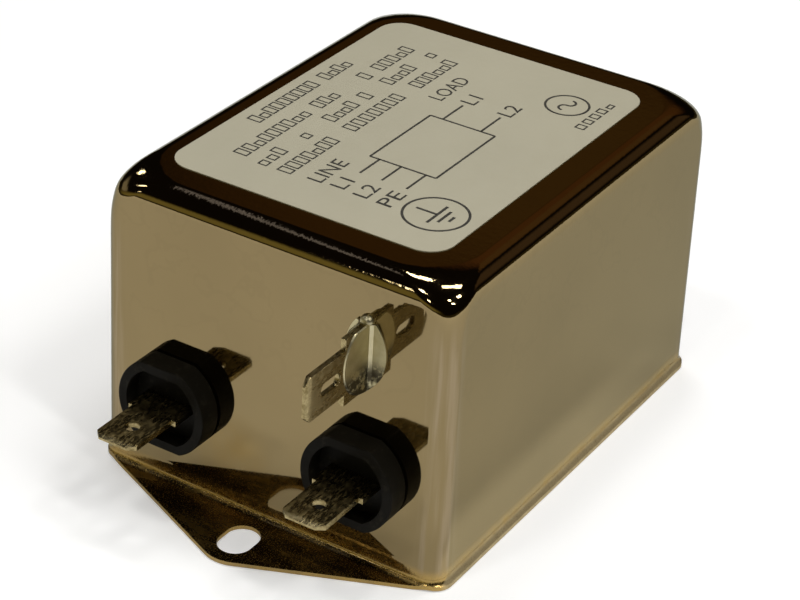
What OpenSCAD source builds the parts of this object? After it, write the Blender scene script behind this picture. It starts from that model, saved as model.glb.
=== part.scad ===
// EMI line filter: a potted drawn-metal can with quick-connect tabs at both ends.
// Origin at the centre of the underside, +Z up, +X from the line end to the load end.

/* [Can] */
// Length of the can at its foot
can_l = 68.9; // [66:0.1:74]
// Width of the can at its foot
can_w = 53.2; // [50:0.1:58]
// Height of the can
can_h = 43.5; // [42:0.1:50]
// Thickness of the drawn sheet
sheet_t = 0.55; // [0.4:0.05:0.8]
// Lean of the walls, in degrees
wall_draft = 0.45; // [0:0.05:0.6]
// Radius of the upright corners
corner_r = 2.5; // [2:0.1:3.5]
// Corner radius of the flat top
top_corner_r = 8; // [5:0.1:9]
// Radius of the rolled top edge
top_edge_r = 3.2; // [2:0.1:4]
// Height over which the corners open out into the top
crown_h = 9; // [7:0.5:12]

/* [Flange] */
// Distance between the two mounting slots
hole_pitch = 80.4; // [79:0.1:90]
// Radius of the ears round the slots
ear_r = 5; // [4.2:0.1:6]
// Width of a mounting slot
slot_w = 4.8; // [3:0.1:5]
// Length of a mounting slot
slot_l = 6.4; // [5.2:0.1:7.5]
// Width of the lip along the long sides
side_lip = 0.6; // [0.4:0.1:1.2]
// Width of the lip beside the ears
end_lip = 0.15; // [0.1:0.05:0.4]
// Corner radius of the flange
flange_corner_r = 2.8; // [2:0.1:3.2]
// Radius of the bend from wall to flange
foot_bend_r = 1; // [0.6:0.1:1.4]
// Thickness of the base plate
base_t = 0.6; // [0.4:0.1:1]

/* [Terminals] */
// Distance of the line and load tabs from the middle
term_y = 14.4; // [12:0.1:16]
// Height of the line and load tabs
term_z = 13.8; // [12:0.1:16]
// Sideways place of the ground tab, negative to the right of the line end
ground_y = -14.35; // [-16:0.05:-12]
// Height of the ground tab
ground_z = 31.2; // [30:0.1:32]
// Width of a tab
tab_w = 6.35; // [4.75:0.05:6.35]
// Thickness of a tab
tab_t = 0.8; // [0.5:0.1:0.8]
// Reach of a tab out of the wall
tab_reach = 13.55; // [12:0.05:15]
// Reach of the ground tab out of the wall
ground_reach = 13.65; // [12:0.05:15]
// Where the wide part of a tab ends, out of the wall
shoulder_x = 5.3; // [5:0.1:6]
// Width of the wide part of a line or load tab
shoulder_w = 7.6; // [7:0.1:8]
// Diameter of the hole in a line or load tab
tab_hole_d = 2; // [1.4:0.1:2.2]
// Width of the root of the ground tab
ground_root_w = 9.5; // [8:0.1:10]
// Length of the slot in the ground tab
ground_slot_l = 4.2; // [2:0.1:4.4]
// Width of the slot in the ground tab
ground_slot_w = 1.8; // [1.2:0.1:2]

/* [Bushings] */
// Radius of a bushing's rim
bushing_r = 6.85; // [6.5:0.05:7.2]
// Half height between a bushing's flats
bushing_flat = 6.15; // [5.8:0.05:6.4]
// How far a bushing stands out of the wall
bushing_h = 3.55; // [3.2:0.05:4.5]
// Thickness of the rim round the recess
bushing_rim = 1.35; // [1:0.05:1.5]
// Depth of the recess
recess_h = 2.5; // [1:0.1:2.6]

/* [Label] */
// Length of the label
label_l = 54.9; // [50:0.1:56]
// Width of the label
label_w = 41.5; // [38:0.1:42]
// Corner radius of the label
label_r = 3.7; // [2:0.1:5]
// Thickness of the label
label_t = 0.12; // [0.1:0.01:0.2]

/* [Inside] */
// Outer diameter of the choke core
core_od = 26; // [22:0.5:27]
// Inner diameter of the choke core
core_id = 14.5; // [13:0.5:16]
// Height of the choke core
core_h = 11; // [9:0.5:12]
// Diameter of the winding wire and the leads
wire_d = 1; // [0.8:0.1:1.2]
// Turns in each winding
turns = 11; // [7:1:12]

/* [Hidden] */

$fn = 64;
line_end = -1;
load_end = 1;
loft_fn = 48;
crown_steps = 12;
edge_steps = 10;
skin = 0.01;
through = 2;
slack = 0.05;
nickel = [0.66, 0.61, 0.50];
tin = [0.62, 0.57, 0.47];
black_nylon = [0.09, 0.09, 0.08];
copper = [0.72, 0.42, 0.24];

// ---- shapes that several pieces share ----

module rounded_rect(l, w, r) {
    square([l - 2 * r, w], center = true);
    square([l, w - 2 * r], center = true);
    for (x = [-1, 1], y = [-1, 1])
        translate([x * (l / 2 - r), y * (w / 2 - r)])
            circle(r);
}

module obround(l, w, h) {
    translate([-(l - w) / 2, -w / 2, 0])
        cube([l - w, w, h]);
    for (side = [-1, 1])
        translate([side * (l - w) / 2, 0, 0])
            cylinder(d = w, h = h);
}

// Round wire through a list of points. Straight runs stop short of a bend, inside its bead.
module wire(points, d = wire_d) {
    bead = 1.5;
    last = len(points) - 1;
    for (i = [0 : last - 1]) {
        step = points[i + 1] - points[i];
        run = norm(step);
        from = i == 0 ? 0 : d / 2;
        to = i == last - 1 ? run : run - d / 2;
        translate(points[i])
            rotate([0, acos(step.z / run), atan2(step.y, step.x)])
                translate([0, 0, from])
                    cylinder(d = d, h = to - from);
    }
    if (last > 1)
        for (i = [1 : last - 1])
            translate(points[i])
                sphere(d = bead * d);
}

// A flat profile carried round the foot of the can: x is outwards, y is up.
module round_the_foot(l, w, r) {
    for (turn = [0, 180])
        rotate(turn)
            translate([l / 2, w / 2 - r, 0])
                rotate([90, 0, 0])
                    linear_extrude(w - 2 * r)
                        children();
    for (turn = [90, 270])
        rotate(turn)
            translate([w / 2, l / 2 - r, 0])
                rotate([90, 0, 0])
                    linear_extrude(l - 2 * r)
                        children();
    for (x = [0, 1], y = [0, 1])
        mirror([x, 0, 0])
            mirror([0, y, 0])
                translate([l / 2 - r, w / 2 - r, 0])
                    rotate_extrude(angle = 90)
                        translate([r, 0])
                            children();
}

// The corner left between a wall and a floor by a bend of this radius.
module bend_profile(r) {
    overlap = 0.3;
    difference() {
        translate([-overlap, 0])
            square([r + overlap, r]);
        translate([r, r])
            circle(r);
    }
}

// ---- the can's form: one loft, also used smaller for its inside ----

function lean(z) = z * tan(wall_draft);
function wall_x(z) = can_l / 2 - lean(z);

// How far the rolled edge has pulled in at height z, for a skin set in by t.
function edge_inset(z, t) =
    let (r = top_edge_r - t, up = z - (can_h - top_edge_r))
    up <= 0 ? 0 : r - sqrt(max(0, r * r - up * up));

function corner_at(z, t) =
    let (up = max(0, z - (can_h - crown_h)) / crown_h)
    corner_r - t + (top_corner_r - corner_r) * pow(up, 3);

function levels(t, foot) = concat(
    [foot],
    [for (i = [0 : crown_steps - 1])
        can_h - crown_h + (crown_h - top_edge_r) * i / crown_steps],
    [for (i = [0 : edge_steps])
        can_h - top_edge_r + (top_edge_r - t) * sin(90 * i / edge_steps) - (i == edge_steps ? skin : 0)]
);

// The outside when t is 0, the inside of the sheet when t is its thickness.
module can_form(t, foot) {
    hull()
        for (z = levels(t, foot)) {
            in = lean(z) + edge_inset(z, t) + t;
            translate([0, 0, z])
                linear_extrude(skin)
                    rounded_rect(can_l - 2 * in, can_w - 2 * in, corner_at(z, t), $fn = loft_fn);
        }
}

module can_inside() {
    can_form(sheet_t, -through);
}

// ---- flange with its two ears ----

flange_l = can_l + 2 * end_lip;
flange_w = can_w + 2 * side_lip;

// Tangent points of the line that runs from a flange corner to the ear's tip.
function ear_line() =
    let (
        corner = [flange_l / 2 - flange_corner_r, flange_w / 2 - flange_corner_r],
        tip = [hole_pitch / 2, 0],
        run = tip - corner,
        turn = asin((ear_r - flange_corner_r) / norm(run)),
        aim = atan2(run.y, run.x) + 90 + turn,
        out = [cos(aim), sin(aim)]
    )
    [corner + flange_corner_r * out, tip + ear_r * out];

module flange_outline() {
    line = ear_line();
    rounded_rect(flange_l, flange_w, flange_corner_r);
    for (end = [0, 1])
        mirror([end, 0, 0]) {
            polygon([
                [0, line[0].y], line[0], line[1],
                [line[1].x, -line[1].y], [line[0].x, -line[0].y], [0, -line[0].y]
            ]);
            translate([hole_pitch / 2, 0])
                circle(ear_r);
        }
}

// ---- places on the end walls ----

// Stands children on an end wall: local +X is outwards, square to the leaning wall.
module at_wall(end, y, z) {
    rotate(end == line_end ? 180 : 0)
        translate([wall_x(z), end * y, z])
            rotate([0, -wall_draft, 0])
                children();
}

module at_terminals() {
    for (end = [line_end, load_end], y = [-term_y, term_y])
        at_wall(end, y, term_z)
            children();
}

// ---- can ----

wall_hole_r = 5.4;

module can() {
    color(nickel)
    difference() {
        union() {
            can_form(0, 0);
            linear_extrude(sheet_t)
                flange_outline();
            intersection() {
                translate([0, 0, sheet_t])
                    round_the_foot(can_l, can_w, corner_r)
                        bend_profile(foot_bend_r);
                linear_extrude(can_h)
                    flange_outline();
            }
        }
        can_inside();
        translate([0, 0, -skin])
            round_the_foot(can_l - 2 * sheet_t, can_w - 2 * sheet_t, corner_r - sheet_t)
                bend_profile(foot_bend_r + sheet_t);
        for (x = [-1, 1])
            translate([x * hole_pitch / 2, 0, -through])
                obround(slot_l, slot_w, 2 * through + sheet_t);
        at_terminals()
            rotate([0, 90, 0])
                cylinder(r = wall_hole_r, h = 2 * through, center = true);
        at_wall(line_end, ground_y, ground_z)
            cube([2 * through, tab_t, ground_root_w], center = true);
    }
}

module base_plate() {
    gap = 0.1;
    color([0.55, 0.53, 0.48])
    linear_extrude(base_t)
        rounded_rect(
            can_l - 2 * (sheet_t + gap),
            can_w - 2 * (sheet_t + gap),
            corner_r - sheet_t - gap
        );
}

// ---- label ----

module label() {
    color([0.78, 0.77, 0.68])
    translate([0, label_shift, can_h])
        linear_extrude(label_t)
            rounded_rect(label_l, label_w, label_r);
}

label_shift = 0.95;
print_t = 0.03;
stroke = 0.3;

module bar(x0, x1, y, w) {
    translate([x0, y - w / 2])
        square([x1 - x0, w]);
}

// A line of print as evenly spaced marks.
module print_row(x0, x1, y) {
    mark = 1.15;
    pitch = 1.7;
    tall = 0.9;
    low = 0.5;
    for (i = [0 : floor((x1 - x0 - mark) / pitch)])
        bar(x0 + i * pitch, x0 + i * pitch + mark, y, i % 3 == 1 ? low : tall);
}

module ring(r) {
    difference() {
        circle(r);
        circle(r - stroke);
    }
}

module print_shapes() {
    print_row(-11, 11, 19);
    print_row(-20, 2, 15);
    print_row(8.5, 20, 14.5);
    for (y = [11.3, 7.6]) {
        print_row(-20.5, -10, y);
        print_row(-5.5, 5.5, y);
        print_row(9.5, 20.5, y);
    }
    // Block diagram: a box with three line leads and two load leads.
    box = [-10.4, 4.4];
    box_y = [-8.9, 1.15];
    for (y = box_y)
        bar(box[0], box[1], y, stroke);
    for (x = box)
        translate([x - stroke / 2, box_y[0] - stroke / 2])
            square([stroke, box_y[1] - box_y[0] + stroke]);
    for (y = [-0.35, -3.65, -7.4])
        bar(box[0] - 4.6, box[0], y, stroke);
    for (y = [-0.8, -6.7])
        bar(box[1], box[1] + 5.1, y, stroke);
    // Ring with the earth sign.
    translate([-18.4, -13.9]) {
        ring(4.35);
        translate([-stroke / 2, 0])
            square([stroke, 2.6]);
        for (i = [0 : 2])
            bar(-2.2 + 0.7 * i, 2.2 - 0.7 * i, -0.9 * i, stroke);
    }
    // Ring with the sign for alternating current, as two arcs.
    translate([18.3, -12.1]) {
        ring(3.15);
        for (half = [-1, 1])
            translate([half * 0.8, 0])
                intersection() {
                    ring(0.95);
                    translate([0, half * 1])
                        square([2, 2], center = true);
                }
    }
}

module label_print() {
    color([0.12, 0.12, 0.10])
    translate([0, 0, can_h + label_t])
        linear_extrude(print_t)
            print_shapes();
}

// ---- bushings ----

collar_h = 1.3;
collar_grip = 0.6;
sleeve_h = 6;
sleeve_r = 4.9;
rim_round = 0.2;
back_cut = 0.3;

// Half section of a bushing's puck: out from its axis, then away from the wall.
module puck_side(half) {
    polygon([
        [0, 0],
        [half - back_cut, 0],
        [half, back_cut],
        [half, bushing_h - rim_round],
        [half - rim_round, bushing_h],
        [0, bushing_h]
    ]);
    translate([half - rim_round, bushing_h - rim_round])
        circle(rim_round);
}

// Puck with eased edges and flats above and below.
module rim_body() {
    rotate([0, 90, 0])
        intersection() {
            rotate_extrude()
                puck_side(bushing_r);
            rotate([90, 0, 0])
                linear_extrude(2 * bushing_r, center = true)
                    for (flat = [0, 1])
                        mirror([flat, 0])
                            puck_side(bushing_flat);
        }
}

module recess() {
    r = bushing_r - bushing_rim;
    flat = bushing_flat - bushing_rim;
    translate([bushing_h - recess_h, 0, 0])
        intersection() {
            rotate([0, 90, 0])
                cylinder(r = r, h = 2 * recess_h);
            translate([0, -r, -flat])
                cube([2 * recess_h, 2 * r, 2 * flat]);
        }
}

// Bushing seated on a wall whose outer face is at x = 0.
module bushing_shape() {
    difference() {
        union() {
            rim_body();
            rotate([0, -90, 0]) {
                cylinder(r = wall_hole_r, h = sheet_t);
                translate([0, 0, sheet_t])
                    cylinder(r1 = wall_hole_r + collar_grip, r2 = sleeve_r, h = collar_h);
                cylinder(r = sleeve_r, h = sleeve_h);
            }
        }
        recess();
        cube([4 * sleeve_h, shoulder_w, tab_t], center = true);
    }
}

module bushing(end, y) {
    color(black_nylon)
    at_wall(end, y, term_z)
        bushing_shape();
}

// ---- tabs ----

tip_cut = 1;
tip_bevel = 1.2;
tip_edge_t = 0.35;
tail_w = 4;
tail_x = 12;
tail_hole_x = 10.5;

// Blade with chipped corners and a bevelled end, from the shoulder out.
module blade_outline(root_w, root_x, reach) {
    polygon([
        [root_x, -root_w / 2],
        [shoulder_x, -root_w / 2],
        [shoulder_x, -tab_w / 2],
        [reach - tip_cut, -tab_w / 2],
        [reach, -tab_w / 2 + tip_cut],
        [reach, tab_w / 2 - tip_cut],
        [reach - tip_cut, tab_w / 2],
        [shoulder_x, tab_w / 2],
        [shoulder_x, root_w / 2],
        [root_x, root_w / 2]
    ]);
}

// Wedge that thins the end of a blade to tip_edge_t.
module tip_wedges(reach) {
    drop = (tab_t - tip_edge_t) / 2;
    for (face = [0, 1])
        mirror([0, 0, face])
            translate([reach, 0, tip_edge_t / 2])
                rotate([0, atan2(drop, tip_bevel), 0])
                    translate([-2 * tip_bevel, -tab_w, 0])
                        cube([4 * tip_bevel, 2 * tab_w, tab_t]);
}

module tab_shape() {
    difference() {
        translate([0, 0, -tab_t / 2])
            linear_extrude(tab_t)
                difference() {
                    union() {
                        blade_outline(shoulder_w, -sleeve_h, tab_reach);
                        translate([-tail_x, -tail_w / 2])
                            square([tail_x, tail_w]);
                    }
                    translate([tab_reach - 4.2, 0])
                        circle(d = tab_hole_d);
                    translate([-tail_hole_x, 0])
                        circle(d = wire_d + 2 * slack);
                }
        tip_wedges(tab_reach);
    }
}

module tab(end, y) {
    color(tin)
    at_wall(end, y, term_z)
        tab_shape();
}

ground_tail_x = 4.5;
ground_hole_x = 3;

module tab_ground() {
    color(tin)
    at_wall(line_end, ground_y, ground_z)
        rotate([90, 0, 0])
            difference() {
                translate([0, 0, -tab_t / 2])
                    linear_extrude(tab_t)
                        difference() {
                            blade_outline(ground_root_w, -ground_tail_x, ground_reach);
                            translate([-ground_hole_x, 0])
                                circle(d = wire_d + 2 * slack);
                        }
                tip_wedges(ground_reach);
                translate([ground_reach - 5.3, 0, -through])
                    obround(ground_slot_l, ground_slot_w, 2 * through);
            }
}

// Solder round the root of the ground tab: a thin film on the tab and on the wall with a filled
// corner between them, inside a leaf-shaped edge. A bead sits where the tab's top meets the wall.
leaf_r = 6.9;
leaf_offset = 3.9;
leaf_x = 0.3;
leaf_lift = 0.4;
film_edge_t = 0.12;
film_root_t = 0.38;
film_corner = 0.75;
film_run = 6.2;
film_spread = 3;
bead_r = 1;

// Lens between two equal spheres. Its sharp rim lies in the middle plane of the tab.
module leaf() {
    intersection() {
        translate([leaf_x, -leaf_offset, leaf_lift])
            sphere(leaf_r);
        translate([leaf_x, leaf_offset, leaf_lift])
            sphere(leaf_r);
    }
}

module film() {
    for (face = [0, 1])
        mirror([0, face, 0])
            translate([0, tab_t / 2, -ground_root_w])
                linear_extrude(1.5 * ground_root_w)
                    polygon([
                        [0, 0],
                        [film_run, 0],
                        [film_run, film_edge_t],
                        [film_corner, film_root_t],
                        [film_root_t, film_corner],
                        [film_edge_t, film_spread],
                        [0, film_spread]
                    ]);
}

module solder_ground() {
    color([0.56, 0.55, 0.47])
    at_wall(line_end, ground_y, ground_z)
        difference() {
            union() {
                intersection() {
                    leaf();
                    film();
                }
                translate([0, 0, ground_root_w / 2])
                    rotate([0, 45, 0])
                        sphere(bead_r);
            }
            translate([-2 * bead_r, -bead_r, 0])
                cube([2 * bead_r, 2 * bead_r, ground_root_w]);
            cube([4 * leaf_r, tab_t, ground_root_w], center = true);
        }
}

// ---- choke ----

choke_at = [0, 0, 21];
section_r = 1;
tail_at = wall_x(term_z) - tail_hole_x;
lead_angle = atan2(term_y, tail_at);
section_w = (core_od - core_id) / 2;
section_x = (core_od + core_id) / 4;
winding_arc = 180 - 2 * lead_angle;
turn_r = core_od / 2 + slack + wire_d;
choke_r = norm([turn_r, wire_d / 2]) + slack;
choke_h = core_h + 2 * (slack + wire_d);

module choke_core() {
    color([0.25, 0.27, 0.26])
    translate(choke_at)
        rotate_extrude()
            translate([section_x, 0])
                around_section(0);
}

// Section of the core, grown by g.
module around_section(g) {
    rounded_rect(section_w + 2 * g, core_h + 2 * g, section_r + g);
}

// Turns of one winding, spread over its side of the core.
module winding(side) {
    color(copper)
    translate(choke_at)
        for (i = [0 : turns - 1])
            rotate(side * (90 + winding_arc * (i / (turns - 1) - 0.5)))
                translate([section_x, 0, 0])
                    rotate([90, 0, 0])
                        linear_extrude(wire_d, center = true)
                            difference() {
                                around_section(slack + wire_d);
                                around_section(slack);
                            }
}

module choke_divider() {
    thick = 1;
    color([0.85, 0.82, 0.7])
    translate(choke_at)
        intersection() {
            cube([core_id, thick, choke_h], center = true);
            cylinder(d = core_id, h = choke_h, center = true);
        }
}

module choke_space() {
    translate(choke_at)
        cylinder(r = choke_r, h = choke_h, center = true);
}

// ---- capacitors and resistor ----

x_cap_at = [-18.8, 0, 20];
x_cap_size = [8, 18, 14];
x_cap_pin_y = 7.5;
lead_z = 17.5;
pin_d = 0.8;
y_cap_at = [22, 8, 29];
y_cap_d = 9;
y_cap_t = 4;
y_cap_pin = 2.5;
bus_z = 23;
resistor_z = 36.2;
resistor_y = 9.8;

module x_cap_shape() {
    translate(x_cap_at)
        linear_extrude(x_cap_size.z)
            rounded_rect(x_cap_size.x, x_cap_size.y, 0.6);
    for (side = [-1, 1])
        wire([
            [x_cap_at.x, side * x_cap_pin_y, x_cap_at.z + 1],
            [x_cap_at.x, side * x_cap_pin_y, lead_z],
            [x_cap_at.x, side * lead_y(x_cap_at.x), lead_z]
        ], pin_d);
}

module x_capacitor() {
    color([0.85, 0.75, 0.2])
    difference() {
        x_cap_shape();
        for (side = [-1, 1])
            lead_run(line_end, side);
    }
}

// Disc capacitor on one side, from its load lead to the ground lead.
module y_cap_shape(side) {
    pin_y = [y_cap_at.y + y_cap_pin, y_cap_at.y - y_cap_pin];
    level = [lead_z, bus_z];
    target_y = [lead_y(y_cap_at.x), 0];
    translate([y_cap_at.x, side * y_cap_at.y, y_cap_at.z])
        rotate([0, 90, 0])
            cylinder(d = y_cap_d, h = y_cap_t, center = true);
    for (i = [0, 1])
        wire([
            [y_cap_at.x, side * pin_y[i], y_cap_at.z],
            [y_cap_at.x, side * pin_y[i], level[i]],
            [y_cap_at.x, side * target_y[i], level[i]]
        ], pin_d);
}

module y_capacitor(side) {
    color([0.2, 0.4, 0.65])
    difference() {
        y_cap_shape(side);
        lead_run(load_end, side);
        translate([y_cap_at.x, 0, bus_z - 1])
            cylinder(d = wire_d, h = 2);
    }
}

module resistor_shape() {
    body_l = 7;
    body_d = 2.5;
    translate([x_cap_at.x, 0, resistor_z])
        rotate([90, 0, 0])
            cylinder(d = body_d, h = body_l, center = true);
    wire([
        [x_cap_at.x, -resistor_y, lead_z],
        [x_cap_at.x, -resistor_y, resistor_z],
        [x_cap_at.x, resistor_y, resistor_z],
        [x_cap_at.x, resistor_y, lead_z]
    ], 0.75 * pin_d);
}

module bleed_resistor() {
    color([0.75, 0.62, 0.45])
    difference() {
        resistor_shape();
        translate([x_cap_at.x, 0, lead_z])
            rotate([90, 0, 0])
                cylinder(d = pin_d, h = 4 * resistor_y, center = true);
    }
}

// ---- leads ----

// Each lead stands up through the hole in its tab's tail and runs straight to the middle
// of the choke, so that it meets the nearest turn square on.
function lead_y(x) = abs(x) * tan(lead_angle);
function on_lead(end, side, r) =
    [end * r * cos(lead_angle), side * r * sin(lead_angle), lead_z];

module lead_run(end, side) {
    wire([on_lead(end, side, norm([tail_at, term_y])), on_lead(end, side, turn_r)]);
}

module lead_path(end, side) {
    wire([
        [end * tail_at, side * term_y, term_z - 1.2],
        [end * tail_at, side * term_y, lead_z],
        on_lead(end, side, turn_r)
    ]);
}

module lead(end, side) {
    color(copper)
    lead_path(end, side);
}

module lead_ground() {
    top_z = 38.9;
    ground_tail = wall_x(ground_z) - ground_hole_x;
    color([0.5, 0.6, 0.3])
    wire([
        [y_cap_at.x, 0, bus_z - 1],
        [y_cap_at.x, 0, top_z],
        [-ground_tail, 0, top_z],
        [-ground_tail, 0, ground_z],
        [-ground_tail, ground_y - tab_t, ground_z]
    ]);
}

// ---- liner and potting ----

liner_gap = 0.9;
liner_t = 0.25;
liner_drop = 1.8;
liner_l = 54;

// Insulating sheet folded over the parts, open towards both ends.
module liner() {
    w = can_w - 2 * (sheet_t + liner_gap);
    h = can_h - sheet_t - liner_drop - 2 * base_t;
    fold_r = 2.5;
    color([0.8, 0.72, 0.5])
    translate([0, 0, 2 * base_t])
        rotate([90, 0, 90])
            linear_extrude(liner_l, center = true)
                difference() {
                    folded_sheet(w, h, fold_r);
                    folded_sheet(w - 2 * liner_t, h - liner_t, fold_r - liner_t, -1);
                }
}

module folded_sheet(w, h, r, foot = 0) {
    translate([-w / 2, foot])
        square([w, h - r - foot]);
    translate([-w / 2 + r, foot])
        square([w - 2 * r, h - foot]);
    for (x = [-1, 1])
        translate([x * (w / 2 - r), h - r])
            circle(r);
}

module potting() {
    color([0.22, 0.2, 0.17])
    difference() {
        can_inside();
        translate([0, 0, base_t - can_l])
            cube(2 * can_l, center = true);
        choke_space();
        liner();
        x_cap_shape();
        resistor_shape();
        lead_ground();
        for (side = [-1, 1]) {
            y_cap_shape(side);
            for (end = [line_end, load_end]) {
                lead_path(end, side);
                at_wall(end, side * term_y, term_z) {
                    bushing_shape();
                    tab_shape();
                }
            }
        }
        tab_ground();
    }
}

can();
base_plate();
label();
label_print();
bushing(line_end, term_y);  // bushing_line_1
bushing(line_end, -term_y);  // bushing_line_2
bushing(load_end, term_y);  // bushing_load_1
bushing(load_end, -term_y);  // bushing_load_2
tab(line_end, term_y);  // tab_line_1
tab(line_end, -term_y);  // tab_line_2
tab(load_end, term_y);  // tab_load_1
tab(load_end, -term_y);  // tab_load_2
tab_ground();
solder_ground();
choke_core();
choke_divider();
winding(1);  // winding_1
winding(-1);  // winding_2
x_capacitor();
y_capacitor(1);  // y_capacitor_1
y_capacitor(-1);  // y_capacitor_2
bleed_resistor();
lead(line_end, 1);  // lead_line_1
lead(line_end, -1);  // lead_line_2
lead(load_end, 1);  // lead_load_1
lead(load_end, -1);  // lead_load_2
lead_ground();
liner();
potting();
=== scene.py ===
import math

import bmesh
import bpy
from mathutils import Matrix, Vector


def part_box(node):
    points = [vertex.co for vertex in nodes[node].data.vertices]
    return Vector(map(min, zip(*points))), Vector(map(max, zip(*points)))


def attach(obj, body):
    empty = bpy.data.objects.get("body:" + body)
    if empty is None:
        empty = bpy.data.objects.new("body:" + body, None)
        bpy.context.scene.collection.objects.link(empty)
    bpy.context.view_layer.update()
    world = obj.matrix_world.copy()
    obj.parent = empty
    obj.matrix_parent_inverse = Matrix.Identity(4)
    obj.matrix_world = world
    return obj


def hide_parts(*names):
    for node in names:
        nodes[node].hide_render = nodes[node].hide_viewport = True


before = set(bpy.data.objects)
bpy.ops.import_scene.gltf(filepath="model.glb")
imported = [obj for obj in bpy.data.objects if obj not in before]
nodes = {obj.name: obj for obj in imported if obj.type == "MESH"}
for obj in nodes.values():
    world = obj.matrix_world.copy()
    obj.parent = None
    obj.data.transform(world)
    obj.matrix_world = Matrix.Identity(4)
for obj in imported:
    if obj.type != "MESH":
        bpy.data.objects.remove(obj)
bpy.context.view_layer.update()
scene = bpy.context.scene


# ---------------------------------------------------------------- places, from the frame

MM = 0.001
CAN_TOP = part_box("can")[1][2]
PLATE_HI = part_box("base_plate")[1]
SHEET_AND_GAP = 0.65 * MM  # from the base plate's edge to the outside of the can's wall
WALL_X, WALL_Y = PLATE_HI[0] + SHEET_AND_GAP, PLATE_HI[1] + SHEET_AND_GAP
L1_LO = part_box("bushing_line_1")[0]
TAB_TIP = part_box("tab_load_1")[1][0]
SOLDER_LO, SOLDER_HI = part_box("solder_ground")
SOLDER_MID = (SOLDER_LO[2] + SOLDER_HI[2]) / 2
PRINT_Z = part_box("label_print")[0][2]


# ---------------------------------------------------------------- node helpers

SPREAD = (0.3, 0.7)  # most values of a noise lie between these two


class Tree:
    """Short ways to add nodes to a node tree."""

    def __init__(self, tree):
        self.tree = tree

    def add(self, kind, **settings):
        node = self.tree.nodes.new(kind)
        for key, value in settings.items():
            setattr(node, key, value)
        return node

    def link(self, output, socket):
        self.tree.links.new(output, socket)

    def math(self, operation, a, b=0.0):
        node = self.add("ShaderNodeMath", operation=operation)
        for i, value in enumerate((a, b)):
            if isinstance(value, (int, float)):
                node.inputs[i].default_value = value
            else:
                self.link(value, node.inputs[i])
        return node.outputs["Value"]

    def split(self, vector):
        node = self.add("ShaderNodeSeparateXYZ")
        self.link(vector, node.inputs["Vector"])
        return [node.outputs[axis] for axis in "XYZ"]

    def ramp(self, value, start, end, low=0.0, high=1.0, smooth=False):
        """From low to high while value goes from start to end."""
        node = self.add("ShaderNodeMapRange")
        if smooth:
            node.interpolation_type = "SMOOTHSTEP"
        for key, number in zip(("From Min", "From Max", "To Min", "To Max"), (start, end, low, high)):
            node.inputs[key].default_value = number
        self.link(value, node.inputs["Value"])
        return node.outputs["Result"]

    def near(self, value, middle, half, soft=0.4):
        """1 where value is within half of middle, falling softly to 0."""
        off = self.math("ABSOLUTE", self.math("SUBTRACT", value, middle))
        return self.ramp(off, half * (1 + soft), half * (1 - soft), smooth=True)

    def product(self, *factors):
        result = factors[0]
        for factor in factors[1:]:
            result = self.math("MULTIPLY", result, factor)
        return result

    def hypot(self, a, b):
        squares = self.math("ADD", self.math("MULTIPLY", a, a), self.math("MULTIPLY", b, b))
        return self.math("SQRT", squares)

    def mix(self, factor, a, b):
        """Colour a where factor is 0 and b where it is 1. Each is a tuple or a node's output."""
        node = self.add("ShaderNodeMix", data_type="RGBA")
        self.link(factor, node.inputs["Factor"])
        for key, value in (("A", a), ("B", b)):
            socket = [i for i in node.inputs if i.name == key and i.type == "RGBA"][0]
            if isinstance(value, tuple):
                socket.default_value = (*value, 1)
            else:
                self.link(value, socket)
        return [o for o in node.outputs if o.type == "RGBA"][0]


class Material(Tree):
    """A material with a Principled shader. Places on it are the object's, in metres."""

    def __init__(self, name, rgb, metal, rough, **sockets):
        self.material = bpy.data.materials.new(name)
        self.material.use_nodes = True
        super().__init__(self.material.node_tree)
        self.shader = self.tree.nodes["Principled BSDF"]
        self.shader.inputs["Base Color"].default_value = (*rgb, 1)
        self.shader.inputs["Metallic"].default_value = metal
        self.shader.inputs["Roughness"].default_value = rough
        for key, value in sockets.items():
            self.shader.inputs[key.replace("_", " ")].default_value = value
        self.material.diffuse_color = (*rgb, 1)
        self.place = self.add("ShaderNodeTexCoord").outputs["Object"]
        self.normal = self.add("ShaderNodeNewGeometry").outputs["Normal"]

    def stretched(self, x, y, z):
        """The place with its axes scaled: noise there runs long where the scale is small."""
        node = self.add("ShaderNodeMapping")
        node.inputs["Scale"].default_value = (x, y, z)
        self.link(self.place, node.inputs["Vector"])
        return node.outputs["Vector"]

    def speck(self, scale, detail=4.0, rough=0.55, place=None):
        """Noise with about scale patches to the metre."""
        node = self.add("ShaderNodeTexNoise")
        node.inputs["Scale"].default_value = scale
        node.inputs["Detail"].default_value = detail
        node.inputs["Roughness"].default_value = rough
        self.link(place or self.place, node.inputs["Vector"])
        return node.outputs["Fac"]

    def mottle(self, noise, dark, light):
        return self.mix(self.ramp(noise, *SPREAD), dark, light)

    def colour(self, output):
        self.link(output, self.shader.inputs["Base Color"])

    def roughness(self, output):
        self.link(output, self.shader.inputs["Roughness"])

    def bump(self, height, strength, distance):
        """Adds a bump on top of any that is there already."""
        node = self.add("ShaderNodeBump")
        node.inputs["Strength"].default_value = strength
        node.inputs["Distance"].default_value = distance
        self.link(height, node.inputs["Height"])
        earlier = self.shader.inputs["Normal"].links
        if earlier:
            self.link(earlier[0].from_socket, node.inputs["Normal"])
        self.link(node.outputs["Normal"], self.shader.inputs["Normal"])


def shade(rgb, factor):
    return tuple(c * factor for c in rgb)


# ---------------------------------------------------------------- nickel

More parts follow.
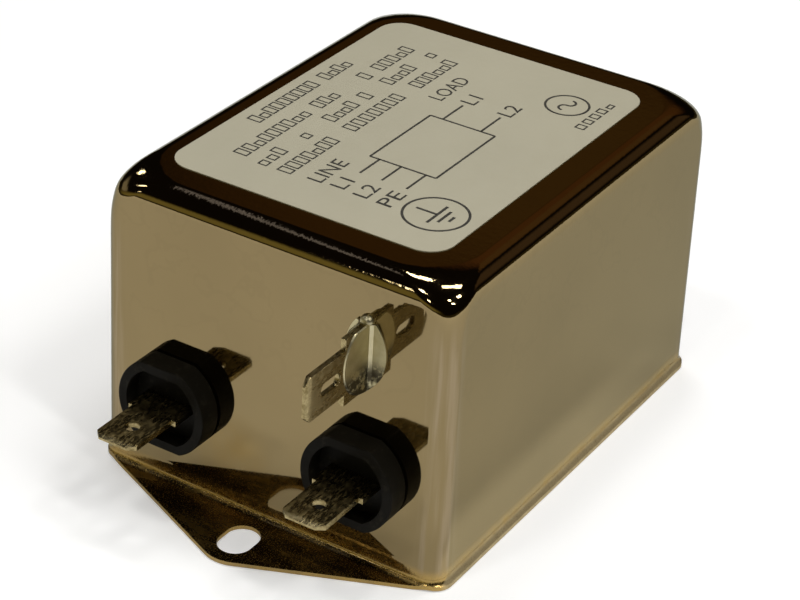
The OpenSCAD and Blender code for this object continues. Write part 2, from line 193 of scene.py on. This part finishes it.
NICKEL = (0.232, 0.176, 0.087)
# Lighter colour of the drawn lines at the upright corners: a painted highlight.
DRAWN_LINE_HIGHLIGHT = (0.28, 0.22, 0.135)
SMEAR_GOLD = (0.26, 0.165, 0.045)
FOOT_GOLD = (0.30, 0.21, 0.085)
STAIN_GOLD = (0.42, 0.28, 0.085)
# Lighter colour of the lip along the long sides: a painted highlight on its trimmed edge.
LIP_PAINTED_HIGHLIGHT = (0.50, 0.41, 0.24)
METAL_EDGE = (0.55, 0.59, 0.59, 1)  # tint of a metal seen at a grazing angle

# Regions of the can: where each begins to show, and where it shows in full.
FOOT_Z = (3.2 * MM, 1.2 * MM)
CROWN_Z = (CAN_TOP - 5 * MM, CAN_TOP - 3 * MM)
CORNER_X = (WALL_X - 4.45 * MM, WALL_X - 1.95 * MM)
CORNER_Y = (WALL_Y - 4.6 * MM, WALL_Y - 2.1 * MM)
CORNER_Z = (CAN_TOP - 3.5 * MM, CAN_TOP - 9.5 * MM)
LIP_X = (WALL_X - 0.95 * MM, WALL_X - 1.95 * MM)
LIP_Y = (WALL_Y - 0.05 * MM, WALL_Y + 0.1 * MM)
SMEAR_X = (-WALL_X + 4.45 * MM, -WALL_X + 2.45 * MM)
DRIED_Z = (20 * MM, 28 * MM)
# The same, each as a middle and a half width.
BEND_Z = (2.1 * MM, 0.8 * MM)
SMEAR_Y, SMEAR_Z = (L1_LO[1] - 2 * MM, 4 * MM), (L1_LO[2] + 1 * MM, 4 * MM)


class Nickel(Material):
    """Bright plating: mirror walls, drawn upright corners with painted highlight streaks, a ribbed crown
    and a stained foot.
    """

    def __init__(self):
        super().__init__("nickel", NICKEL, metal=1.0, rough=0.06, Specular_Tint=METAL_EDGE)
        self.x, self.y, self.z = self.split(self.place)
        self.broad = self.speck(38, 3)
        self.drawn = self.speck(900, 3, 0.6, self.stretched(1, 1, 0.04))
        self.find_regions()
        self.find_marks()
        self.paint()
        self.polish()
        self.emboss()

    def find_regions(self):
        """The foot, the crown, the upright corners and the lip along the long sides."""
        side_x, side_y = self.math("ABSOLUTE", self.x), self.math("ABSOLUTE", self.y)
        self.foot = self.ramp(self.z, *FOOT_Z, smooth=True)
        self.crown = self.ramp(self.z, *CROWN_Z, smooth=True)
        self.corner = self.product(
            self.ramp(side_x, *CORNER_X, smooth=True),
            self.ramp(side_y, *CORNER_Y, smooth=True),
            self.ramp(self.z, *CORNER_Z, smooth=True))
        self.lip = self.product(self.ramp(side_y, *LIP_Y), self.ramp(side_x, *LIP_X), self.foot)

    def find_marks(self):
        """Scuffs and stains at the foot, a smear beside L1 and dried drops high on the walls."""
        self.scuff = self.product(self.ramp(self.speck(5200, 3), 0.56, 0.64), self.foot)
        spill = self.speck(220, 5, 0.7, self.stretched(1.6, 0.5, 1))
        self.stain = self.product(self.ramp(spill, 0.40, 0.70), self.foot)
        self.smear = self.product(
            self.ramp(self.speck(160, 4), 0.3, 0.6),
            self.ramp(self.x, *SMEAR_X),
            self.near(self.y, *SMEAR_Y, soft=0.9),
            self.near(self.z, *SMEAR_Z, soft=0.9),
            0.5)
        drops = self.near(self.speck(150, 3), 0.56, 0.02)
        self.dried = self.product(drops, self.ramp(self.z, *DRIED_Z), 0.22)

    def paint(self):
        tone = self.mottle(self.broad, shade(NICKEL, 0.95), shade(NICKEL, 1.05))
        tone = self.mix(self.dried, tone, shade(NICKEL, 0.86))
        # At the upright corners the drawn lines are painted lighter, as painted highlight streaks.
        lines = self.mix(self.ramp(self.drawn, 0.40, 0.60), shade(NICKEL, 0.9), DRAWN_LINE_HIGHLIGHT)
        tone = self.mix(self.product(self.corner, self.ramp(self.drawn, *SPREAD, 0.2, 1.0)), tone, lines)
        tone = self.mix(self.smear, tone, SMEAR_GOLD)
        tone = self.mix(self.foot, tone, FOOT_GOLD)
        tone = self.mix(self.math("MAXIMUM", self.stain, self.scuff), tone, STAIN_GOLD)
        # The lip is painted lighter, as a painted highlight on the trimmed edge; its added roughness is
        # real wear.
        self.colour(self.mix(self.lip, tone, LIP_PAINTED_HIGHLIGHT))

    def polish(self):
        """Roughness: fine and broad changes everywhere, and more where the plating is worn."""
        fine = self.ramp(self.speck(420, 5, 0.6), 0.35, 0.75, 0.03, 0.06)
        rough = self.math("ADD", fine, self.ramp(self.broad, *SPREAD, 0.0, 0.03))
        for worn, amount in ((self.foot, 0.10), (self.scuff, 0.25), (self.stain, 0.2), (self.lip, 0.5)):
            rough = self.math("ADD", rough, self.math("MULTIPLY", worn, amount))
        self.roughness(rough)

    def emboss(self):
        """The walls' waves, the drawn lines, the crown's ribs, the foot's grain and its bend's creases."""
        ribs = self.speck(1200, 2, 0.6, self.stretched(1, 1, 0.08))
        creases = self.speck(1300, 2, 0.6, self.stretched(0.15, 1, 0.15))
        self.bump(self.speck(70, 2), 0.2, 0.03 * MM)
        self.bump(self.drawn, 0.12, 0.002 * MM)
        self.bump(self.product(ribs, self.crown), 0.6, 0.022 * MM)
        self.bump(self.product(self.speck(600, 3, 0.6), self.foot), 0.35, 0.03 * MM)
        self.bump(self.product(creases, self.near(self.z, *BEND_Z)), 0.9, 0.05 * MM)


# ---------------------------------------------------------------- tin and solder

TIN = (0.27, 0.21, 0.12)
CUT_DARK, CUT_LIGHT = (0.19, 0.145, 0.062), (0.38, 0.31, 0.16)
FLAT_FACE = (0.5, 0.9)  # how much of the normal points along the flat axis
TIP_X = (TAB_TIP - 0.84 * MM, TAB_TIP - 0.59 * MM)
TIP_WAVER = 0.2 * MM

SOLDER = (0.36, 0.335, 0.235)
SOLDER_DULL, SOLDER_CLEAN = (0.41, 0.36, 0.205), (0.47, 0.42, 0.255)
# Painted highlight on the solder where its surface faces -X, along its corner at the tab.
CREASE_PAINTED_HIGHLIGHT = (0.62, 0.57, 0.42)
CREASE_IN, CREASE_OUT = (-0.90, -0.75), (-0.62, -0.45)  # X of the normal, where the painted highlight shows and fades
# Dark colour of the solder's lower half: a painted reflection of the black bushing below.
PAINTED_DARK_REFLECTION = (0.05, 0.042, 0.025)


def tin(flat_axis, dark, light, relief):
    """Tinned brass, blotched and scratched on its flat faces, plainer on its edges and tip."""
    mat = Material("tin_" + "xyz"[flat_axis], TIN, metal=1.0, rough=0.3, Specular_Tint=METAL_EDGE)
    streak = mat.speck(420, 5, 0.65, mat.stretched(0.7, 1.6, 1.6))
    blotch = mat.speck(900, 6, 0.75)
    scratch = mat.speck(2600, 3, 0.7, mat.stretched(0.4, 1.3, 1.3))
    face = mat.math("ABSOLUTE", mat.split(mat.normal)[flat_axis])
    waver = mat.ramp(mat.speck(1600, 3), *SPREAD, -TIP_WAVER, TIP_WAVER)
    reach = mat.math("ADD", mat.math("ABSOLUTE", mat.split(mat.place)[0]), waver)
    cut = mat.math("MAXIMUM", mat.ramp(face, *FLAT_FACE, 1.0, 0.0), mat.ramp(reach, *TIP_X))
    worn = mat.mix(mat.ramp(blotch, 0.38, 0.66), dark, light)
    sheared = mat.mix(mat.ramp(blotch, 0.4, 0.6), CUT_DARK, CUT_LIGHT)
    mat.colour(mat.mix(cut, worn, sheared))
    dull = mat.product(mat.ramp(scratch, 0.5, 0.62), mat.ramp(face, *FLAT_FACE, 0.1, 0.25))
    mat.roughness(mat.math("ADD", mat.ramp(streak, *SPREAD, 0.2, 0.34), dull))
    mat.bump(streak, 0.3 * relief, 0.02 * MM)
    mat.bump(blotch, 0.4 * relief, 0.03 * MM)
    mat.bump(scratch, 0.3 * relief, 0.012 * MM)
    return mat


def solder():
    """Satin film with a painted highlight along its corner at the tab and a painted dark reflection at its
    foot.
    """
    mat = Material("solder", SOLDER, metal=1.0, rough=0.4)
    lump = mat.speck(900, 3)
    grain = mat.speck(1500, 4)
    facing = mat.split(mat.normal)[0]
    z = mat.split(mat.place)[2]
    # A painted highlight: lighter where the normal faces -X, standing in for the light that the corner
    # catches.
    painted_highlight = mat.product(
        mat.ramp(facing, *CREASE_IN, smooth=True),
        mat.ramp(facing, *CREASE_OUT, 1.0, 0.0, smooth=True),
        0.2)
    skin = mat.mix(mat.ramp(lump, 0.35, 0.7), SOLDER_DULL, SOLDER_CLEAN)
    skin = mat.mix(painted_highlight, skin, CREASE_PAINTED_HIGHLIGHT)
    # The lower half is painted darker and mottled, as a painted dark reflection of the black bushing
    # below.
    low = mat.ramp(z, SOLDER_MID, (SOLDER_LO[2] + SOLDER_MID) / 2, smooth=True)
    dark_reflection_mask = mat.product(low, mat.ramp(mat.speck(900, 5, 0.7), 0.40, 0.50))
    mat.colour(mat.mix(dark_reflection_mask, skin, PAINTED_DARK_REFLECTION))
    mat.roughness(mat.ramp(grain, *SPREAD, 0.34, 0.46))
    mat.bump(lump, 0.2, 0.05 * MM)
    mat.bump(mat.product(grain, dark_reflection_mask), 0.8, 0.08 * MM)
    return mat


# ---------------------------------------------------------------- plastic, label, ink and steel

NYLON = (0.0075, 0.0065, 0.0042)
NYLON_CLEAN, NYLON_DUSTY = (0.0066, 0.0056, 0.0036), (0.035, 0.030, 0.020)
FILM = (0.405, 0.378, 0.278)
INK = (0.02, 0.02, 0.018)
INK_DARK, INK_LIGHT = (0.030, 0.029, 0.024), (0.06, 0.057, 0.046)
STEEL = (0.30, 0.27, 0.2)
STEEL_DARK, STEEL_LIGHT = (0.25, 0.22, 0.15), (0.36, 0.33, 0.25)


def black_plastic():
    mat = Material("black_nylon", NYLON, metal=0.0, rough=0.5, Specular_IOR_Level=0.05)
    mat.colour(mat.mix(mat.ramp(mat.speck(700, 6, 0.7), 0.55, 0.9), NYLON_CLEAN, NYLON_DUSTY))
    mat.roughness(mat.ramp(mat.speck(250, 3), *SPREAD, 0.38, 0.6))
    mat.bump(mat.speck(1800, 4), 0.25, 0.02 * MM)
    return mat


def label_film():
    mat = Material("label_film", FILM, metal=0.0, rough=0.55)
    mat.colour(mat.mottle(mat.speck(60, 4), shade(FILM, 0.97), shade(FILM, 1.03)))
    mat.roughness(mat.ramp(mat.speck(500, 4), *SPREAD, 0.45, 0.6))
    mat.bump(mat.speck(2500, 3), 0.15, 0.01 * MM)
    return mat


def ink():
    mat = Material("ink", INK, metal=0.0, rough=0.5)
    mat.colour(mat.mix(mat.ramp(mat.speck(1500, 4), 0.4, 0.8), INK_DARK, INK_LIGHT))
    return mat


def steel_plate():
    """Rolled sheet with its grain along X."""
    mat = Material("base_steel", STEEL, metal=1.0, rough=0.35)
    mat.colour(mat.mottle(mat.speck(120, 4), STEEL_DARK, STEEL_LIGHT))
    mat.roughness(mat.ramp(mat.speck(500, 4, 0.6, mat.stretched(1, 8, 8)), *SPREAD, 0.25, 0.45))
    return mat


def inner(name, rgb, metal, rough, scale):
    """Material of a piece that stays inside: its colour, slightly mottled."""
    mat = Material(name, rgb, metal, rough)
    mat.colour(mat.mottle(mat.speck(scale, 4), shade(rgb, 0.85), shade(rgb, 1.1)))
    mat.bump(mat.speck(scale * 4, 3), 0.2, 0.03 * MM)
    return mat


# ---------------------------------------------------------------- a material for every CAD piece

def dress(mat, *names):
    for name in names:
        slots = nodes[name].data.materials
        slots.clear()
        slots.append(mat.material)


def numbered(name):
    return [f"{name}_{i}" for i in (1, 2)]


def both_ends(name):
    return numbered(f"{name}_line") + numbered(f"{name}_load")


def dress_outside():
    dress(Nickel(), "can")
    dress(steel_plate(), "base_plate")
    dress(label_film(), "label")
    dress(solder(), "solder_ground")
    dress(black_plastic(), *both_ends("bushing"))
    dress(tin(2, dark=(0.11, 0.08, 0.03), light=(0.34, 0.26, 0.115), relief=0.9), *both_ends("tab"))
    dress(tin(1, dark=(0.21, 0.162, 0.078), light=(0.28, 0.22, 0.11), relief=0.35), "tab_ground")


def dress_inside():
    dress(inner("enamelled_wire", (0.45, 0.16, 0.05), metal=0.8, rough=0.3, scale=400),
          *numbered("winding"), *both_ends("lead"))
    dress(inner("earth_wire", (0.10, 0.20, 0.03), metal=0.0, rough=0.35, scale=300), "lead_ground")
    dress(inner("ferrite", (0.03, 0.034, 0.034), metal=0.0, rough=0.5, scale=300), "choke_core")
    dress(inner("fibre", (0.52, 0.44, 0.26), metal=0.0, rough=0.7, scale=300), "choke_divider", "liner")
    dress(inner("film_case", (0.55, 0.36, 0.03), metal=0.0, rough=0.4, scale=300), "x_capacitor")
    dress(inner("disc_coat", (0.02, 0.08, 0.25), metal=0.0, rough=0.25, scale=300),
          *numbered("y_capacitor"))
    dress(inner("resistor_coat", (0.42, 0.27, 0.12), metal=0.0, rough=0.4, scale=500), "bleed_resistor")
    dress(inner("compound", (0.02, 0.018, 0.014), metal=0.0, rough=0.6, scale=200), "potting")


print_ink = ink()
dress(print_ink, "label_print")
dress_outside()
dress_inside()


# ---------------------------------------------------------------- edges of the CAD pieces

SHARP = math.radians(35)
PLANAR = math.radians(0.3)
WELD = 0.002 * MM
CAN_WELD = 0.012 * MM


def round_edges(obj, width):
    """Merges the triangles of each flat face, then rounds the sharp edges."""
    planar = obj.modifiers.new("planar", "DECIMATE")
    planar.decimate_type = "DISSOLVE"
    planar.angle_limit = PLANAR
    rounding = obj.modifiers.new("bevel", "BEVEL")
    rounding.width = width
    rounding.segments = 2
    rounding.limit_method = "ANGLE"
    rounding.angle_limit = SHARP
    rounding.use_clamp_overlap = True


def soften(names, weld=WELD, edge=0.0):
    """Joins the split corners, rounds the sharp edges where edge is given and smooths the shading."""
    for name in names:
        obj = nodes[name]
        for face in obj.data.polygons:
            face.use_smooth = True
        obj.modifiers.new("weld", "WELD").merge_threshold = weld
        if edge:
            round_edges(obj, edge)
        obj.modifiers.new("sharp", "EDGE_SPLIT").split_angle = SHARP
        normals = obj.modifiers.new("normals", "WEIGHTED_NORMAL")
        normals.mode = "FACE_AREA"
        normals.weight = 100


soften(["can"], weld=CAN_WELD)
soften([*both_ends("tab"), "tab_ground", "solder_ground"], edge=0.05 * MM)
soften(both_ends("bushing"), edge=0.08 * MM)
soften(["label", "base_plate"])


# ---------------------------------------------------------------- print on the label

PRINT_T = 0.02 * MM

# From here to make_print, lengths are in millimetres, as Print takes them.
TEXT_H, SMALL_H = 2.25, 1.5
LINE_W = 0.32
EARTH_RING_W, EARTH_W = 0.36, 0.4
SINE_W = 0.34
ARC_STEP = 6  # degrees

# Each row of boxes stands for a line of print: from x, to x, y, height and seed.
ROWS = (
    (-11.3, 11.0, 19.0, TEXT_H, 5),
    (-20.1, 1.8, 14.9, TEXT_H, 9), (8.4, 20.2, 14.7, TEXT_H, 3),
    (-20.8, -10.2, 11.3, TEXT_H, 33), (-5.1, 4.4, 11.3, TEXT_H, 40), (9.0, 20.7, 11.3, TEXT_H, 47),
    (-20.7, -9.4, 7.6, TEXT_H, 21), (-5.7, 6.7, 7.6, TEXT_H, 28), (10.6, 20.2, 7.6, TEXT_H, 35),
    (13.2, 22.0, -16.7, SMALL_H, 21),
)
# The usual names of a filter's terminals: text, from x, to x and y.
WORDS = (
    ("LINE", -20.4, -13.7, 3.2), ("LOAD", 8.9, 16.7, 3.3),
    ("L1", -20.1, -17.4, -0.1), ("L2", -20.4, -16.9, -3.7), ("PE", -20.5, -16.5, -7.3),
    ("L1", 10.4, 13.0, -0.9), ("L2", 10.3, 13.6, -6.7),
)
EARTH_AT, SINE_AT = (-18.45, -13.85), (18.25, -12.05)


class Print:
    """Flat shapes on the top of the label, gathered in one mesh."""

    def __init__(self):
        self.shapes = bmesh.new()

    def poly(self, points):
        """A flat shape with that outline, as thick as the print."""
        top = [self.shapes.verts.new((x * MM, y * MM, PRINT_Z + PRINT_T)) for x, y in points]
        low = [self.shapes.verts.new((x * MM, y * MM, PRINT_Z)) for x, y in points]
        self.shapes.faces.new(top)
        self.shapes.faces.new(low[::-1])
        for i in range(len(points)):
            j = (i + 1) % len(points)
            self.shapes.faces.new((low[i], low[j], top[j], top[i]))

    def bar(self, x0, y0, x1, y1, width):
        """A stroke from one point to another."""
        dx, dy = x1 - x0, y1 - y0
        half = width / 2 / math.hypot(dx, dy)
        ox, oy = -dy * half, dx * half
        self.poly([(x0 + ox, y0 + oy), (x0 - ox, y0 - oy), (x1 - ox, y1 - oy), (x1 + ox, y1 + oy)])

    def arc(self, x, y, radius, width, start=0, end=360):
        """A stroke along a circle, between two angles in degrees."""
        count = (end - start) // ARC_STEP
        angles = [math.radians(start + ARC_STEP * i) for i in range(count + 1)]
        near, far = radius - width / 2, radius + width / 2
        for a, b in zip(angles, angles[1:]):
            corners = ((near, a), (far, a), (far, b), (near, b))
            self.poly([(x + r * math.cos(t), y + r * math.sin(t)) for r, t in corners])

    def word(self, text, x0, x1, y):
        """Letters stretched to fill x0 to x1 and the height of the text, centred on y."""
        curve = bpy.data.curves.new("word", "FONT")
        curve.body = text
        curve.resolution_u = 3
        obj = bpy.data.objects.new("word", curve)
        scene.collection.objects.link(obj)
        graph = bpy.context.evaluated_depsgraph_get()
        letters = bpy.data.meshes.new_from_object(obj.evaluated_get(graph))
        bpy.data.objects.remove(obj)
        xs = [v.co.x for v in letters.vertices]
        ys = [v.co.y for v in letters.vertices]
        wide = (x1 - x0) / (max(xs) - min(xs))
        tall = TEXT_H / (max(ys) - min(ys))
        low = y - TEXT_H / 2
        for v in letters.vertices:
            left, up = x0 + (v.co.x - min(xs)) * wide, low + (v.co.y - min(ys)) * tall
            v.co = (left * MM, up * MM, PRINT_Z + PRINT_T)
        self.shapes.from_mesh(letters)
        bpy.data.meshes.remove(letters)

    def row(self, x0, x1, y, height, seed):
        """Empty boxes of two heights, in groups, that spell nothing."""
        wide, pitch, stroke = 1.1, 1.62, 0.24
        short = 0.65 * height
        count = int((x1 - x0 + pitch - wide) / pitch)
        step = (x1 - x0 - wide) / max(1, count - 1)
        low = y - height / 2
        pick = seed
        for i in range(count):
            pick = (pick * 37 + 11) % 101  # mixes well, and is the same each run
            is_gap = pick % 9 == 0 and 0 < i < count - 1
            if is_gap:
                continue
            left = x0 + i * step
            high = low + (height if pick % 4 else short)
            for x in (left, left + wide):
                self.bar(x, low, x, high, stroke)
            for level in (low + stroke / 2, high - stroke / 2):
                self.bar(left + stroke / 2, level, left + wide - stroke / 2, level, stroke)

    def mesh(self, name):
        mesh = bpy.data.meshes.new(name)
        self.shapes.to_mesh(mesh)
        self.shapes.free()
        return mesh


def diagram(marks):
    """The filter as a box, with three wires in and two out."""
    left, right, low, high = -10.45, 4.35, -8.9, 1.15
    wires_from, wires_to = -15.1, 9.5
    for y in (low, high):
        marks.bar(left, y, right, y, LINE_W)
    for x in (left, right):
        marks.bar(x, low, x, high, LINE_W)
    for y in (-0.33, -3.65, -7.4):
        marks.bar(wires_from, y, left, y, LINE_W)
    for y in (-0.8, -6.7):
        marks.bar(right, y, wires_to, y, LINE_W)


def earth_sign(marks, x, y):
    """In a ring, a stem on three bars, each shorter and lower than the last."""
    ring, stem_top, stem_foot, first_bar, drop = 4.25, 2.9, -0.1, -0.2, 1.05
    marks.arc(x, y, ring, EARTH_RING_W)
    marks.bar(x, y + stem_top, x, y + stem_foot, EARTH_W)
    for i, half in enumerate((2.5, 1.6, 0.7)):
        level = y + first_bar - drop * i
        marks.bar(x - half, level, x + half, level, EARTH_W)


def sine_sign(marks, x, y):
    """In a ring, one wave as two half circles."""
    ring, wave = 3.0, 0.8
    marks.arc(x, y, ring, SINE_W)
    marks.arc(x - wave, y, wave, SINE_W, 0, 180)
    marks.arc(x + wave, y, wave, SINE_W, 180, 360)


def make_print():
    marks = Print()
    for row in ROWS:
        marks.row(*row)
    for word in WORDS:
        marks.word(*word)
    diagram(marks)
    earth_sign(marks, *EARTH_AT)
    sine_sign(marks, *SINE_AT)
    obj = bpy.data.objects.new("label_marks", marks.mesh("label_marks"))
    scene.collection.objects.link(obj)
    obj.data.materials.append(print_ink.material)
    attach(obj, "root")
    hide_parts("label_print")


make_print()


# ---------------------------------------------------------------- floor

FLOOR_SIZE = 3.0
FLOOR_Z = -0.1 * MM
FLOOR, FLOOR_DARK, FLOOR_LIGHT = (0.80, 0.80, 0.79), (0.79, 0.79, 0.78), (0.81, 0.81, 0.80)
GLOW_REACH = (0.15, 0.9)  # from the middle of the object
GLOW = (0.3, 0.9)  # at the near and the far end of that reach
STRIP_Y = -(WALL_Y + 2.6 * MM)
STRIP_HALF = 4 * MM
STRIP_START = (-36 * MM, -32 * MM)
STRIP_END = (40 * MM, 10 * MM)
STRIP_GLOW = 0.42


def make_floor():
    """Pale floor. What sees it directly or in metal sees it a little lighter, shadow and all.

    The metal also shows a bright strip of it along the foot of the long wall at -Y.
    """
    bpy.ops.mesh.primitive_plane_add(size=FLOOR_SIZE, location=(0, 0, FLOOR_Z))
    obj = bpy.context.object
    obj.name = "floor"
    mat = Material("floor", FLOOR, metal=0.0, rough=0.9)
    mat.colour(mat.mix(mat.speck(6, 2), FLOOR_DARK, FLOOR_LIGHT))
    path = mat.add("ShaderNodeLightPath").outputs
    in_gloss = path["Is Glossy Ray"]
    seen = mat.math("MAXIMUM", in_gloss, path["Is Transmission Ray"])
    seen = mat.math("MAXIMUM", path["Is Camera Ray"], seen)
    x, y, _ = mat.split(mat.place)
    glow = mat.product(seen, mat.ramp(mat.hypot(x, y), *GLOW_REACH, *GLOW))
    strip = mat.product(
        in_gloss,
        mat.near(y, STRIP_Y, STRIP_HALF, soft=0.5),
        mat.ramp(x, *STRIP_START),
        mat.ramp(x, *STRIP_END),
        STRIP_GLOW)
    mat.shader.inputs["Emission Color"].default_value = (1, 1, 1, 1)
    mat.link(mat.math("ADD", glow, strip), mat.shader.inputs["Emission Strength"])
    obj.data.materials.append(mat.material)


make_floor()


# ---------------------------------------------------------------- room

# Dim patches, later ones over earlier ones: azimuth, elevation, half width, half height and colour.
PATCHES = (
    (-120, 8, 60, 16, (0.40, 0.345, 0.12)),
    (178, 18, 22, 7, (0.50, 0.46, 0.38)),
    (98, 34, 24, 16, (0.15, 0.065, 0.022)),
    (80, 38, 13, 7, (0.16, 0.087, 0.033)),
    (116, 27, 14, 12, (0.09, 0.045, 0.013)),
    (116.5, 27.8, 5, 3, (0.12, 0.066, 0.021)),
    (57, 21, 16, 12, (0.12, 0.078, 0.048)),
)
PATCH_EDGE = (1.15, 0.5)  # where a patch starts and is whole, in half widths from its middle
ROOM_DARK = (0.010, 0.007, 0.005)
HORIZON = (0.07, 0.055, 0.02)
HORIZON_HALF = 4.5  # degrees

# A straight row of small ceiling lamps, drawn on the plane one unit above the object.
ROW_SLOPE = 0.28
ROW_PLACE, ROW_HALF = 0.545, 0.025
ROW_MIDDLE, ROW_REACH = 0.15, 0.32
ROW_LAMPS = 45.0  # to the unit
ROW_COLOUR = (0.6, 0.62, 0.9)
ROW_LAMP = (0.5, 0.3)  # middle and half length of each, in lamps
LOWEST = 0.05  # keeps ceiling_row from dividing by zero


def dim_patches(tree, azimuth, elevation):
    """The dark room with its patches."""
    colour = ROOM_DARK
    for az, el, wide, tall, rgb in PATCHES:
        turn = tree.math("PINGPONG", tree.math("SUBTRACT", azimuth, az), 180.0)
        rise = tree.math("SUBTRACT", elevation, el)
        off = tree.hypot(tree.math("DIVIDE", turn, wide), tree.math("DIVIDE", rise, tall))
        colour = tree.mix(tree.ramp(off, *PATCH_EDGE, smooth=True), colour, rgb)
    return colour


def ceiling_row(tree, x, y, z):
    """1 on each lamp of the row."""
    height = tree.math("MAXIMUM", z, LOWEST)
    u, v = tree.math("DIVIDE", x, height), tree.math("DIVIDE", y, height)
    across = tree.math("SUBTRACT", v, tree.math("MULTIPLY", u, ROW_SLOPE))
    along = tree.math("FRACT", tree.math("MULTIPLY", u, ROW_LAMPS))
    return tree.product(
        tree.near(across, ROW_PLACE, ROW_HALF),
        tree.near(along, *ROW_LAMP),
        tree.near(u, ROW_MIDDLE, ROW_REACH, soft=0.2))


def make_room():
    """What the metal shows above the floor: the dark room, a dim horizon and the ceiling's lamps."""
    world = bpy.data.worlds.new("studio")
    world.use_nodes = True
    tree = Tree(world.node_tree)
    x, y, z = tree.split(tree.add("ShaderNodeTexCoord").outputs["Generated"])
    degrees = 180 / math.pi
    azimuth = tree.math("MULTIPLY", tree.math("ARCTAN2", x, tree.math("MULTIPLY", y, -1.0)), degrees)
    elevation = tree.math("MULTIPLY", tree.math("ARCSINE", z), degrees)
    colour = dim_patches(tree, azimuth, elevation)
    colour = tree.mix(tree.near(elevation, 0.0, HORIZON_HALF, soft=0.3), colour, HORIZON)
    colour = tree.mix(ceiling_row(tree, x, y, z), colour, ROW_COLOUR)
    background = world.node_tree.nodes["Background"]
    tree.link(colour, background.inputs["Color"])
    background.inputs["Strength"].default_value = 1.0
    scene.world = world


make_room()


# ---------------------------------------------------------------- lamps

CROWN_CORNER = (WALL_X - 3.45 * MM, WALL_Y - 3.6 * MM, CAN_TOP - 1.5 * MM)
FRONT_CORNER = Vector((-CROWN_CORNER[0], -CROWN_CORNER[1], CROWN_CORNER[2]))
LEFT_CORNER = Vector((-CROWN_CORNER[0], CROWN_CORNER[1], CROWN_CORNER[2]))

# Corner of the crown, the lamp's two ends (azimuth and elevation), its width in metres and its power.
LAMPS = (
    (FRONT_CORNER, (150, 66), (116, 71), 0.10, 1.7),
    (FRONT_CORNER, (82, 79), (56, 63), 0.10, 1.6),
    (FRONT_CORNER, (-112, 62), (-103, 68), 0.10, 1.4),
    (FRONT_CORNER, (-17, 61), (-17, 61), 0.09, 1.0),
    (FRONT_CORNER, (12, 57), (22, 55), 0.09, 1.0),
    (FRONT_CORNER, (-15, 49), (-15, 49), 0.09, 0.9),
    (FRONT_CORNER, (-88, 41), (-88, 41), 0.09, 0.7),
    (FRONT_CORNER, (-120, 30), (-117.5, 25), 0.03, 0.08),
    (LEFT_CORNER, (150, 27), (150, 27), 0.08, 0.3),
    (LEFT_CORNER, (-179, 38), (-179, 45), 0.07, 0.3),
    (LEFT_CORNER, (-141, 31), (-139, 29), 0.06, 0.08),
)
# A broad lamp that the metal doesn't show.
FILL = (FRONT_CORNER, (-20, 62), (30, 62), 0.9, 3.6)
SHORTEST = 1 * MM  # a lamp whose ends are closer than this is a square


def direction(azimuth, elevation):
    """Unit vector, from degrees. Azimuth 0 is -Y and 90 is +X."""
    turn, rise = math.radians(azimuth), math.radians(elevation)
    return Vector((math.sin(turn) * math.cos(rise), -math.cos(turn) * math.cos(rise), math.sin(rise)))


def placed(at, right, up, back):
    """The matrix of a lamp or camera that looks away from back."""
    return Matrix.Translation(at) @ Matrix((right, up, back)).transposed().to_4x4()


def lamp(name, corner, start, end, width, power):
    """A soft lamp about a metre from a corner, its long axis from one direction to another."""
    first, last = direction(*start), direction(*end)
    middle, span = (first + last) / 2, last - first
    data = bpy.data.lights.new(name, "AREA")
    data.energy = power
    data.shape = "RECTANGLE"
    data.size = max(span.length, width)
    data.size_y = width
    obj = bpy.data.objects.new(name, data)
    scene.collection.objects.link(obj)
    back = middle.normalized()
    if span.length > SHORTEST:
        along = (span - back * span.dot(back)).normalized()
    else:
        along = Vector((0, 0, 1)).cross(back).normalized()
    obj.matrix_world = placed(corner + middle, along, back.cross(along), back)
    return obj


for number, spec in enumerate(LAMPS):
    lamp(f"lamp_{number}", *spec)
lamp("fill", *FILL).visible_glossy = False


# ---------------------------------------------------------------- camera

AZIMUTH, ELEVATION, ROLL = -59.051, 30.880, 3.035
DISTANCE = 350.53 * MM
ASIDE, LIFT = -0.7265 * MM, 14.8329 * MM  # of the camera, to its own right and up
FOCAL_MM, SENSOR_MM = 111.7035, 36.0


def make_camera():
    """Pinhole fitted to the object's outline, tabs and label."""
    back = direction(AZIMUTH, ELEVATION)
    level = direction(AZIMUTH + 90, 0)
    upright = back.cross(level)
    roll = math.radians(ROLL)
    right = level * math.cos(roll) + upright * math.sin(roll)
    up = upright * math.cos(roll) - level * math.sin(roll)
    data = bpy.data.cameras.new("camera")
    data.sensor_width = SENSOR_MM
    data.lens = FOCAL_MM
    data.clip_start, data.clip_end = 0.01, 20
    obj = bpy.data.objects.new("camera", data)
    scene.collection.objects.link(obj)
    obj.matrix_world = placed(back * DISTANCE + right * ASIDE + up * LIFT, right, up, back)
    scene.camera = obj


make_camera()
scene.view_settings.view_transform = "Standard"
